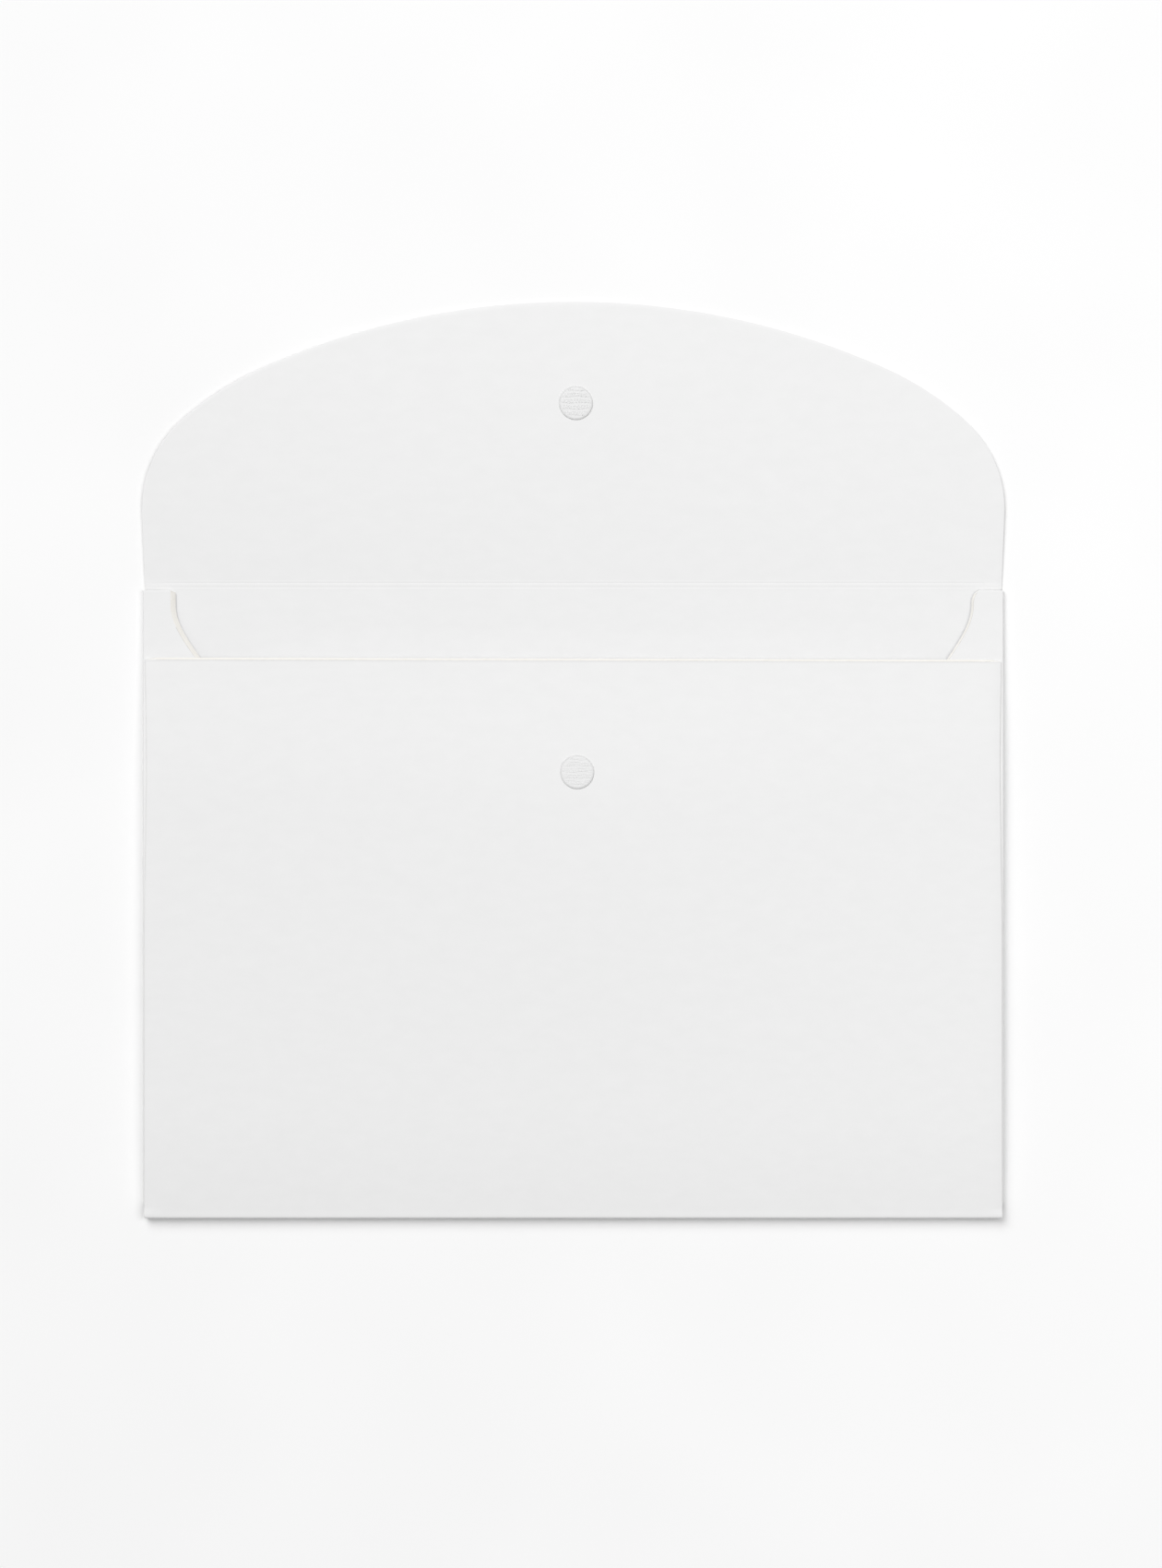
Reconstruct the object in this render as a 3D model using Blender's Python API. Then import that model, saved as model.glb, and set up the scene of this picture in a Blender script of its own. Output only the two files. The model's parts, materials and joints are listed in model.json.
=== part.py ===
"""Portfolio case: one sheet of white board, die-cut, creased and folded into a shallow pocket with a long
flap, which a hook-and-loop dot holds shut. It lies on its back with the flap laid open.

Frame, in metres: +X across the case, +Y from the pocket's closed end towards the flap, +Z up from the
surface that it lies on. The origin is the middle of the back panel's underside.
"""

import math

import bpy
import numpy as np

MM = 0.001

# The sheet and the case, in millimetres.
SHEET = 0.6
HALF_WIDTH = 167.5
HALF_HEIGHT = 122.5
CREASE_GAP = 0.35  # from a crease's line to the panel at each side of it
FOLD_GAP = 0.15  # between a rounded fold and the panel that it runs into

# The strip between the two creases of the spine, and the flap beyond it.
SPINE_WIDTH = 3.2
SPINE_HALF_WIDTH = 166.9
FLAP_REACH = 108.7
TIP_RADIUS = 297.0
TIP_ARC_DEG = 24.26
SHOULDER_RADIUS = 117.0
SHOULDER_ARC_DEG = 18.2
CORNER_RADIUS = 46.2
FLARE_DEG = 1.82

# The side folds: the height over each fold at the spine, along the pocket and at the closed end.
RISE_AT_SPINE = 2.2
RISE_ALONG = 4.4
RISE_AT_END = 3.1
RISE_FULL_BELOW = 95.0
PINCH_STARTS = -80.0
FOLD_POWER = 2.0 / 7.0  # how square-shouldered the folds are; 1 would be round
SIDE_FLAP_TOP = 121.9
SIDE_FLAP_END = -117.0

# The glue flaps that the side folds carry inwards.
GLUE_FLAP_INNER = 138.0
GLUE_FLAP_CUT_BACK = 18.3
CUT_BACK_STARTS = 76.0
CUT_BACK_ENDS = 116.0
END_TAPER = 13.0
END_TAPER_STARTS = -100.0

# The glue strips, and the front panel that they hold.
GLUE_GAP = 0.1
GLUE_THICK = 0.25
GLUE_TOP_Y = 88.0
GLUE_END_Y = -96.0
GLUE_MARGIN = 2.5
FRONT_LIFT = 0.5  # from a glue flap's upper face to the front panel's underside
FRONT_TOP = 94.5
FRONT_SKEW = 0.45  # the front's cut edge stands this much higher at the left and lower at the right
FRONT_OVERHANG = 0.35  # past the line where the side folds begin
CROWN_AT_MOUTH = 0.25
CROWN_AT_MIDDLE = 0.9
CROWN_FULL_Y = 15.0

# The rounded fold at the closed end.
END_FOLD_RADIUS = (RISE_AT_END + FRONT_LIFT + SHEET) / 2

# The two halves of the fastener.
DOT_RADIUS = 6.55
DOT_THICK = 1.1
DOT_EDGE = 0.2
BACKING_RADIUS = 6.35
BACKING_THICK = 0.2
BACKING_GAP = 0.1
DOT_GAP = 0.08
FLAP_DOT = (1.0, 194.9)
FRONT_DOT = (1.5, 51.2)

BOARD_WHITE = (0.85, 0.86, 0.87)
NYLON_WHITE = (0.78, 0.79, 0.80)
GLUE_CLEAR = (0.80, 0.78, 0.72)

CREASE_Z = SHEET / 2
FIRST_CREASE = HALF_HEIGHT
SECOND_CREASE = HALF_HEIGHT + SPINE_WIDTH


def clear_scene() -> None:
    """Removes whatever the scene holds."""
    for obj in list(bpy.data.objects):
        bpy.data.objects.remove(obj, do_unlink=True)


def finish(name: str, colour: tuple, roughness: float, metallic: float = 0.0) -> bpy.types.Material:
    """A plain Principled material."""
    material = bpy.data.materials.new(name)
    material.use_nodes = True
    shader = material.node_tree.nodes["Principled BSDF"]
    shader.inputs["Base Color"].default_value = (*colour, 1.0)
    shader.inputs["Roughness"].default_value = roughness
    shader.inputs["Metallic"].default_value = metallic
    material.diffuse_color = (*colour, 1.0)
    return material


def board_finish(name: str) -> bpy.types.Material:
    """Coated white board, with a faint sheen."""
    return finish(name, BOARD_WHITE, 0.5)


def nylon_finish(name: str) -> bpy.types.Material:
    """Woven white nylon, which is matt."""
    return finish(name, NYLON_WHITE, 0.85)


def glue_finish(name: str) -> bpy.types.Material:
    """Dried glue, slightly yellow."""
    return finish(name, GLUE_CLEAR, 0.35)


def smoothstep(value):
    """0 below 0, 1 above 1, and an even S between."""
    share = np.clip(value, 0.0, 1.0)
    return share * share * (3.0 - 2.0 * share)


def place(name: str, points: list, faces: list, origin: tuple, material: bpy.types.Material):
    """A mesh object whose own origin is at origin; points and origin are in millimetres."""
    shift = np.array(origin)
    mesh = bpy.data.meshes.new(name)
    mesh.from_pydata([tuple((np.array(p) - shift) * MM) for p in points], [], faces)
    mesh.validate()
    mesh.materials.append(material)
    obj = bpy.data.objects.new(name, mesh)
    obj.location = tuple(shift * MM)
    bpy.context.scene.collection.objects.link(obj)
    return obj


def shell(name: str, upper: np.ndarray, lower: np.ndarray, material, origin=(0.0, 0.0, 0.0)):
    """A closed sheet between two grids of points, rows by columns, with its rim filled in."""
    rows, columns = upper.shape[:2]
    points = [*upper.reshape(-1, 3), *lower.reshape(-1, 3)]
    below = rows * columns

    def at(row: int, column: int) -> int:
        return row * columns + column

    faces = []
    for row in range(rows - 1):
        for column in range(columns - 1):
            quad = [at(row, column), at(row, column + 1), at(row + 1, column + 1), at(row + 1, column)]
            faces.append(quad)
            faces.append([below + corner for corner in reversed(quad)])
    rim = [at(0, column) for column in range(columns)]
    rim += [at(row, columns - 1) for row in range(1, rows)]
    rim += [at(rows - 1, column) for column in range(columns - 2, -1, -1)]
    rim += [at(row, 0) for row in range(rows - 2, 0, -1)]
    for start, end in zip(rim, rim[1:] + rim[:1]):
        faces.append([end, start, below + start, below + end])
    obj = place(name, points, faces, origin, material)
    if sheet_volume(obj) < 0:
        obj.data.flip_normals()
    return obj


def sheet_volume(obj) -> float:
    """The signed volume of the object's mesh, negative when its faces point inwards."""
    total = 0.0
    for face in obj.data.polygons:
        first, *rest = [obj.data.vertices[index].co for index in face.vertices]
        for second, third in zip(rest, rest[1:]):
            total += first.dot(second.cross(third)) / 6.0
    return total


def grid(rows: np.ndarray, columns: int, x_at, z_at) -> np.ndarray:
    """Points over rows of y, with the columns spread from x_at(y)[0] to x_at(y)[1]."""
    points = np.zeros((len(rows), columns, 3))
    for index, y in enumerate(rows):
        low, high = x_at(y)
        across = np.linspace(low, high, columns)
        points[index, :, 0] = across
        points[index, :, 1] = y
        points[index, :, 2] = z_at(across, y)
    return points


# ---- how the pocket stands open ----


def side_rise(y: float) -> float:
    """The height of a side fold's top over the surface that the case lies on."""
    towards_spine = smoothstep((y - RISE_FULL_BELOW) / (HALF_HEIGHT - RISE_FULL_BELOW))
    towards_end = (PINCH_STARTS - y) / (PINCH_STARTS + HALF_HEIGHT - END_FOLD_RADIUS)
    full = RISE_ALONG + (RISE_AT_SPINE - RISE_ALONG) * towards_spine
    return full + (RISE_AT_END - RISE_ALONG) * min(1.0, max(0.0, towards_end)) ** 2


def fold_line(y: float) -> float:
    """How far out the flat part of the back reaches, where a side fold begins to turn up."""
    return HALF_WIDTH - side_rise(y) / 2


def crown(x, y: float):
    """How far the front panel bulges over the level of its glued sides."""
    from_mouth = smoothstep((FRONT_TOP - y) / (FRONT_TOP - CROWN_FULL_Y))
    from_end = smoothstep((y - END_TAPER_STARTS) / (CROWN_FULL_Y - END_TAPER_STARTS))
    height = (CROWN_AT_MOUTH + (CROWN_AT_MIDDLE - CROWN_AT_MOUTH) * from_mouth) * from_end
    across = np.clip(1.0 - (np.asarray(x) / GLUE_FLAP_INNER) ** 2, 0.0, None)
    return height * across**2


def front_underside(x, y: float):
    """The height of the front panel's lower face."""
    return side_rise(y) + FRONT_LIFT + crown(x, y)


def glue_flap_inner(y: float) -> float:
    """How near the middle a glue flap reaches: cut back at the mouth, tapered at the closed end."""
    mouth = smoothstep((y - CUT_BACK_STARTS) / (CUT_BACK_ENDS - CUT_BACK_STARTS))
    end = max(0.0, END_TAPER_STARTS - y) / (END_TAPER_STARTS - SIDE_FLAP_END)
    return GLUE_FLAP_INNER + GLUE_FLAP_CUT_BACK * mouth + END_TAPER * end


def stations(top: float, end: float) -> np.ndarray:
    """Rows of y between two ends, on one ladder for every piece so that their facets lie parallel."""
    ladder = np.concatenate(
        [
            np.arange(-120.0, PINCH_STARTS + 5.0, 2.5),
            np.arange(PINCH_STARTS + 5.0, CUT_BACK_STARTS, 13.0),
            np.arange(CUT_BACK_STARTS, HALF_HEIGHT, 3.0),
        ]
    )
    inside = ladder[(ladder > end + 0.5) & (ladder < top - 0.5)]
    return np.concatenate([[end], inside, [top]])


# ---- the panels ----


def back_panel():
    """The flat back, which the case lies on."""
    end = -HALF_HEIGHT + END_FOLD_RADIUS + FOLD_GAP
    rows = stations(FIRST_CREASE - CREASE_GAP, end)

    def sides(y: float) -> tuple:
        reach = fold_line(y) - FOLD_GAP
        return -reach, reach

    lower = grid(rows, 5, sides, lambda x, y: 0.0 * x)
    upper = lower + (0.0, 0.0, SHEET)
    return shell("back_panel", upper, lower, board_finish("back_board"))


def front_panel():
    """The front, folded up from the closed end and glued down both sides, bulging a little between."""
    end = -HALF_HEIGHT + END_FOLD_RADIUS + FOLD_GAP
    rows = stations(FRONT_TOP, end)
    shares = np.array([-1.0, -0.9, -0.8, -0.65, -0.5, -0.33, -0.17, 0.0, 0.17, 0.33, 0.5, 0.65, 0.8, 0.9, 1.0])
    lower = np.zeros((len(rows), len(shares) + 2, 3))
    for index, y in enumerate(rows):
        edge = fold_line(y) + FRONT_OVERHANG
        across = np.concatenate([[-edge], GLUE_FLAP_INNER * shares, [edge]])
        lower[index, :, 0] = across
        lower[index, :, 1] = y
        lower[index, :, 2] = front_underside(across, y)
    lower[-1, :, 1] -= FRONT_SKEW * lower[-1, :, 0] / HALF_WIDTH
    upper = lower + (0.0, 0.0, SHEET)
    return shell("front_panel", upper, lower, board_finish("front_board"))


def half_ring(name: str, middles: list, along: str, side: float, radii: list, material, steps: int = 8):
    """A fold: half a square-shouldered ring swept through the middles, opening inwards, each with its radius."""
    outer = np.zeros((len(middles), steps + 1, 3))
    inner = np.zeros_like(outer)
    turns = np.linspace(-math.pi / 2, math.pi / 2, steps + 1)
    for index, (middle, radius) in enumerate(zip(middles, radii)):
        for ring, reach in ((outer, radius), (inner, radius - SHEET)):
            out = side * reach * np.abs(np.cos(turns)) ** FOLD_POWER
            up = reach * np.sign(np.sin(turns)) * np.abs(np.sin(turns)) ** FOLD_POWER
            ring[index, :, 0] = middle[0] + (out if along == "y" else 0.0)
            ring[index, :, 1] = middle[1] + (0.0 if along == "y" else out)
            ring[index, :, 2] = middle[2] + up
    return shell(name, outer, inner, material)


def side_fold(name: str, side: float):
    """A side of the sheet, rolled up and over so that its glue flap lies above the back."""
    rows = stations(SIDE_FLAP_TOP, SIDE_FLAP_END)
    radii = [side_rise(y) / 2 for y in rows]
    middles = [(side * fold_line(y), y, radius) for y, radius in zip(rows, radii)]
    return half_ring(name, middles, "y", side, radii, board_finish(f"{name}_board"))


def end_fold():
    """The closed end, where the sheet rolls from the back into the front."""
    middle_y = -HALF_HEIGHT + END_FOLD_RADIUS
    reach = fold_line(-HALF_HEIGHT)
    middles = [(x, middle_y, END_FOLD_RADIUS) for x in np.linspace(-reach, reach, 5)]
    radii = [END_FOLD_RADIUS] * len(middles)
    return half_ring("end_fold", middles, "x", -1.0, radii, board_finish("end_fold_board"))


def glue_flap(name: str, side: float):
    """The flap that a side fold carries inwards, under the edge of the front panel."""
    rows = stations(SIDE_FLAP_TOP, SIDE_FLAP_END)

    def sides(y: float) -> tuple:
        return side * glue_flap_inner(y), side * (fold_line(y) - FOLD_GAP)

    upper = grid(rows, 3, sides, lambda x, y: 0.0 * x + side_rise(y))
    lower = upper - (0.0, 0.0, SHEET)
    return shell(name, upper, lower, board_finish(f"{name}_board"))


def glue_strip(name: str, side: float):
    """The band of glue between a glue flap and the front panel."""
    rows = stations(GLUE_TOP_Y, GLUE_END_Y)

    def sides(y: float) -> tuple:
        return side * (glue_flap_inner(y) + GLUE_MARGIN), side * (fold_line(y) - GLUE_MARGIN)

    lower = grid(rows, 2, sides, lambda x, y: 0.0 * x + side_rise(y) + GLUE_GAP)
    upper = lower + (0.0, 0.0, GLUE_THICK)
    return shell(name, upper, lower, glue_finish(f"{name}_glue"))


def spine_strip():
    """The strip between the spine's two creases. Its own origin is on the first crease."""
    rows = np.array([FIRST_CREASE + CREASE_GAP, SECOND_CREASE - CREASE_GAP])
    lower = grid(rows, 5, lambda y: (-SPINE_HALF_WIDTH, SPINE_HALF_WIDTH), lambda x, y: 0.0 * x)
    upper = lower + (0.0, 0.0, SHEET)
    crease = (0.0, FIRST_CREASE, CREASE_Z)
    return shell("spine_strip", upper, lower, board_finish("spine_board"), crease)


def arc(start: tuple, heading: float, radius: float, turn: float, steps: int) -> tuple:
    """A right-hand arc from start: its points, its end and the heading there, in radians."""
    x, y = start
    points = []
    for step in range(1, steps + 1):
        now = heading - turn * step / steps
        points.append(
            (
                x + radius * (math.sin(heading) - math.sin(now)),
                y - radius * (math.cos(heading) - math.cos(now)),
            )
        )
    return points, points[-1], heading - turn


def flap_edge() -> list:
    """The flap's outline from the tip to the crease on the right, from the second crease."""
    start, heading = (0.0, FLAP_REACH), 0.0
    outline = [start]
    first, second = math.radians(TIP_ARC_DEG), math.radians(SHOULDER_ARC_DEG)
    corner = math.pi / 2 + math.radians(FLARE_DEG) - first - second
    for radius, turn, steps in (
        (TIP_RADIUS, first, 9),
        (SHOULDER_RADIUS, second, 5),
        (CORNER_RADIUS, corner, 12),
    ):
        points, start, heading = arc(start, heading, radius, turn, steps)
        outline += points
    return outline


def top_flap():
    """The long flap with its wide rounded tip. Its own origin is on the second crease."""
    right = flap_edge()
    outline = [(-x, y) for x, y in reversed(right[1:])] + right
    corner_y = outline[0][1]
    inset = math.tan(math.radians(FLARE_DEG))
    shares = np.linspace(0.0, 1.0, 6)
    upper = np.zeros((len(shares), len(outline), 3))
    widest = outline[-1][0]
    for column, (x, y) in enumerate(outline):
        foot = x * (widest - corner_y * inset) / widest
        for row, share in enumerate(shares):
            reach = CREASE_GAP + (y - CREASE_GAP) * share
            upper[row, column] = (foot + (x - foot) * share, SECOND_CREASE + reach, SHEET)
    lower = upper - (0.0, 0.0, SHEET)
    crease = (0.0, SECOND_CREASE, CREASE_Z)
    return shell("top_flap", upper, lower, board_finish("flap_board"), crease)


# ---- the fastener ----


def disc(name: str, foot: tuple, tilt: float, radius: float, thick: float, edge: float, material):
    """A round piece standing on foot, its upper rim eased by edge, tilted about X through foot."""
    sides = 48
    turns = np.linspace(0.0, 2.0 * math.pi, sides, endpoint=False)
    rings = [(radius, 0.0), (radius, thick - edge), (radius - edge, thick)] if edge else [(radius, 0.0), (radius, thick)]
    points = []
    for reach, height in rings:
        for turn in turns:
            x, y = reach * math.cos(turn), reach * math.sin(turn)
            points.append(
                (
                    foot[0] + x,
                    foot[1] + y * math.cos(tilt) - height * math.sin(tilt),
                    foot[2] + y * math.sin(tilt) + height * math.cos(tilt),
                )
            )
    faces = [list(reversed(range(sides)))]
    for ring in range(len(rings) - 1):
        for side in range(sides):
            following = (side + 1) % sides
            faces.append(
                [
                    ring * sides + side,
                    ring * sides + following,
                    (ring + 1) * sides + following,
                    (ring + 1) * sides + side,
                ]
            )
    faces.append([(len(rings) - 1) * sides + side for side in range(sides)])
    return place(name, points, faces, foot, material)


def fastener_half(name: str, spot: tuple, surface: float, tilt: float) -> list:
    """A woven disc on its self-adhesive backing, standing off a face at the given height."""
    away = np.array([0.0, -math.sin(tilt), math.cos(tilt)])
    face = np.array([spot[0], spot[1], surface])
    backing_foot = tuple(face + away * BACKING_GAP)
    disc_foot = tuple(face + away * (BACKING_GAP + BACKING_THICK + DOT_GAP))
    backing_name = f"{name}_backing"
    disc_name = f"{name}_disc"
    backing = disc(
        backing_name, backing_foot, tilt, BACKING_RADIUS, BACKING_THICK, 0.0, glue_finish(f"{name}_adhesive")
    )
    pad = disc(disc_name, disc_foot, tilt, DOT_RADIUS, DOT_THICK, DOT_EDGE, nylon_finish(f"{name}_nylon"))
    return [backing, pad]


def hook_dot() -> list:
    """The hook half, on the flap's inner face."""
    return fastener_half("hook", FLAP_DOT, SHEET, 0.0)


def loop_dot() -> list:
    """The loop half, on the front panel's outer face and lying along its slope."""
    x, y = FRONT_DOT
    rise = float(front_underside(x, y + DOT_RADIUS)) - float(front_underside(x, y - DOT_RADIUS))
    tilt = math.atan2(rise, 2 * DOT_RADIUS)
    return fastener_half("loop", FRONT_DOT, float(front_underside(x, y)) + SHEET, tilt)


def hold(parent, children: list) -> None:
    """Parents the children, each staying where it is."""
    bpy.context.view_layer.update()
    for child in children:
        child.parent = parent
        child.matrix_parent_inverse = parent.matrix_world.inverted()


def build() -> None:
    """Makes every piece and hangs it on the piece that carries it."""
    clear_scene()
    back = back_panel()
    front = front_panel()
    folds = [side_fold("left_side_fold", -1.0), side_fold("right_side_fold", 1.0), end_fold()]
    flaps = [glue_flap("left_glue_flap", -1.0), glue_flap("right_glue_flap", 1.0)]
    strips = [glue_strip("left_glue_strip", -1.0), glue_strip("right_glue_strip", 1.0)]
    spine = spine_strip()
    flap = top_flap()
    hook = hook_dot()
    loop = loop_dot()
    hold(back, [front, *folds, *flaps, *strips, spine])
    hold(front, loop)
    hold(spine, [flap])
    hold(flap, hook)


build()
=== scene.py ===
"""Portfolio case in creased white board, laid open: its pieces, its finishes, the light and the camera."""

from __future__ import annotations

import json  # noqa: E402
import logging  # noqa: E402
import math  # noqa: E402
from dataclasses import dataclass, field  # noqa: E402
from enum import Enum  # noqa: E402
from functools import partial  # noqa: E402
from typing import Any, Callable  # noqa: E402

import bmesh  # noqa: E402
import bpy  # noqa: E402
import numpy as np  # noqa: E402
from mathutils import Matrix, Vector  # noqa: E402


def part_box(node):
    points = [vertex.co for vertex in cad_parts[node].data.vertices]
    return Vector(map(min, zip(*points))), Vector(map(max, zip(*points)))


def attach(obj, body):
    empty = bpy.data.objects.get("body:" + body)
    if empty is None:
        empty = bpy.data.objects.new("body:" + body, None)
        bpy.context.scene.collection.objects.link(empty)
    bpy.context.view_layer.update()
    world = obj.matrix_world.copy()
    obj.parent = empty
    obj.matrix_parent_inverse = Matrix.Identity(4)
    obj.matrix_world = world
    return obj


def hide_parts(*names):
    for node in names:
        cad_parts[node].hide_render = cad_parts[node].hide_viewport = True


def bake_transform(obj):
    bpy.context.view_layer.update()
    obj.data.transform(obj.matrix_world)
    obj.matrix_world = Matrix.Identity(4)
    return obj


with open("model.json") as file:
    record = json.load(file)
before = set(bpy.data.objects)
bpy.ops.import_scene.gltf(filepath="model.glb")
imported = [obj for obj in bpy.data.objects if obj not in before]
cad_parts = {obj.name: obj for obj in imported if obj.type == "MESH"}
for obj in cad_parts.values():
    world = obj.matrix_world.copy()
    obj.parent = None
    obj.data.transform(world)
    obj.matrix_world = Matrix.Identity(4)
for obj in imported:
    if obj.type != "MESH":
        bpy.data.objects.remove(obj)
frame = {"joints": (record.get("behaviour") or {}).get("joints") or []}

LOG = logging.getLogger("portfolio_case")
MM = 0.001
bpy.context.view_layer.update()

Shape = Callable[[np.ndarray, np.ndarray], np.ndarray]
Tree = bpy.types.NodeTree
Node = bpy.types.Node
Socket = bpy.types.NodeSocket
Sizes = tuple[float, float, float]


class Body(str, Enum):
    """The bodies that the pieces ride on."""

    CASE = "case"
    SPINE = "spine"
    FLAP = "flap"


class Side(Enum):
    """The two sides of the case."""

    LEFT = -1.0
    RIGHT = 1.0


# ---------------------------------------------------------------- small tools


def deselect() -> None:
    """Clears the selection."""
    for obj in bpy.context.selected_objects:
        obj.select_set(False)


def take(obj: bpy.types.Object) -> bpy.types.Object:
    """Makes obj the only selected object and the active one.

    Args:
        obj: The object to take.

    Returns:
        The same object.
    """
    deselect()
    obj.select_set(True)
    bpy.context.view_layer.objects.active = obj
    return obj


def named(name: str) -> bpy.types.Object:
    """Gives the active object, just added, its name.

    Args:
        name: The piece's name.

    Returns:
        The object.
    """
    obj = bpy.context.active_object
    obj.name = name
    obj.data.name = name
    return obj


def settle(obj: bpy.types.Object) -> bpy.types.Object:
    """Puts a finished object's place into its mesh, so that the object sits at the origin.

    Args:
        obj: The finished piece.

    Returns:
        The same object.
    """
    take(obj)
    bpy.ops.object.transform_apply(location=True, rotation=True, scale=True)
    return obj


def modify(obj: bpy.types.Object, kind: str, **settings: Any) -> None:
    """Adds a modifier and applies it.

    Args:
        obj: The piece.
        kind: The modifier's type.
        **settings: Its properties.
    """
    take(obj)
    modifier = obj.modifiers.new(kind.title(), kind)
    for key, value in settings.items():
        setattr(modifier, key, value)
    bpy.ops.object.modifier_apply(modifier=modifier.name)


def pick_faces(obj: bpy.types.Object, wanted: Callable[[bmesh.types.BMFace], bool]) -> int:
    """In edit mode, selects just the faces that wanted says.

    Args:
        obj: The piece, in edit mode.
        wanted: Says for each face whether to select it.

    Returns:
        How many faces are selected.
    """
    bpy.ops.mesh.select_mode(type="FACE")
    bpy.ops.mesh.select_all(action="DESELECT")
    mesh = bmesh.from_edit_mesh(obj.data)
    found = 0
    for face in mesh.faces:
        face.select = wanted(face)
        found += face.select
    mesh.select_flush_mode()
    bmesh.update_edit_mesh(obj.data)
    return found


def face_out(obj: bpy.types.Object) -> None:
    """Turns a piece's faces the same way all over, outwards.

    Args:
        obj: The piece.
    """
    take(obj)
    bpy.ops.object.mode_set(mode="EDIT")
    bpy.ops.mesh.select_all(action="SELECT")
    bpy.ops.mesh.normals_make_consistent(inside=False)
    bpy.ops.object.mode_set(mode="OBJECT")


def flat_grid(name: str, columns: int, rows: int) -> bpy.types.Object:
    """A flat grid over -1 to 1 both ways.

    Args:
        name: The piece's name.
        columns: How many faces across.
        rows: How many faces along.

    Returns:
        The grid.
    """
    deselect()
    bpy.ops.mesh.primitive_grid_add(x_subdivisions=columns, y_subdivisions=rows, size=2.0)
    return named(name)


def mould(obj: bpy.types.Object, shape: Shape) -> None:
    """Moves every vertex of a flat grid to where shape puts its two shares.

    Args:
        obj: A grid over -1 to 1 both ways.
        shape: Takes the shares across and along, 0 to 1, and gives points, in metres.
    """
    mesh = obj.data
    flat = np.empty(len(mesh.vertices) * 3)
    mesh.vertices.foreach_get("co", flat)
    spots = flat.reshape(-1, 3)
    points = shape((spots[:, 0] + 1.0) / 2.0, (spots[:, 1] + 1.0) / 2.0)
    mesh.vertices.foreach_set("co", points.astype(np.float32).ravel())
    mesh.update()


def smoothstep(value: Any) -> Any:
    """0 below 0, 1 above 1, and an even S between."""
    share = np.clip(value, 0.0, 1.0)
    return share * share * (3.0 - 2.0 * share)


def boxy(turn: Any) -> tuple[Any, Any]:
    """A square-shouldered half turn, as board folds on two close creases.

    Args:
        turn: How far round, 0 to pi.

    Returns:
        How far out and how far round from -1 to 1 it is there: a sine and a cosine squared up.
    """
    power = 2.0 / 7.0
    out, back = np.sin(turn), np.cos(turn)
    return np.abs(out) ** power, np.sign(back) * np.abs(back) ** power


def linear(code: str) -> tuple[float, float, float, float]:
    """A linear colour from an sRGB hex code.

    Args:
        code: Six hex digits after a #.

    Returns:
        Linear red, green and blue, and an alpha of 1.
    """
    parts = [int(code[at : at + 2], 16) / 255.0 for at in (1, 3, 5)]
    red, green, blue = [p / 12.92 if p <= 0.04045 else ((p + 0.055) / 1.055) ** 2.4 for p in parts]
    return red, green, blue, 1.0


# ---------------------------------------------------------------- finishes


def add_node(tree: Tree, kind: str, links: dict[str, Any] | None = None, **settings: Any) -> Node:
    """Adds a node, sets it up and links it.

    Args:
        tree: The material's or the world's node tree.
        kind: The node's type.
        links: Input name to an output socket to link, or to a value to set.
        **settings: The node's own properties.

    Returns:
        The node.
    """
    node = tree.nodes.new(kind)
    for key, value in settings.items():
        setattr(node, key, value)
    for key, value in (links or {}).items():
        socket = node.inputs[int(key)] if key.isdigit() else node.inputs[key]
        if isinstance(value, Socket):
            tree.links.new(value, socket)
        else:
            socket.default_value = value
    return node


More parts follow.
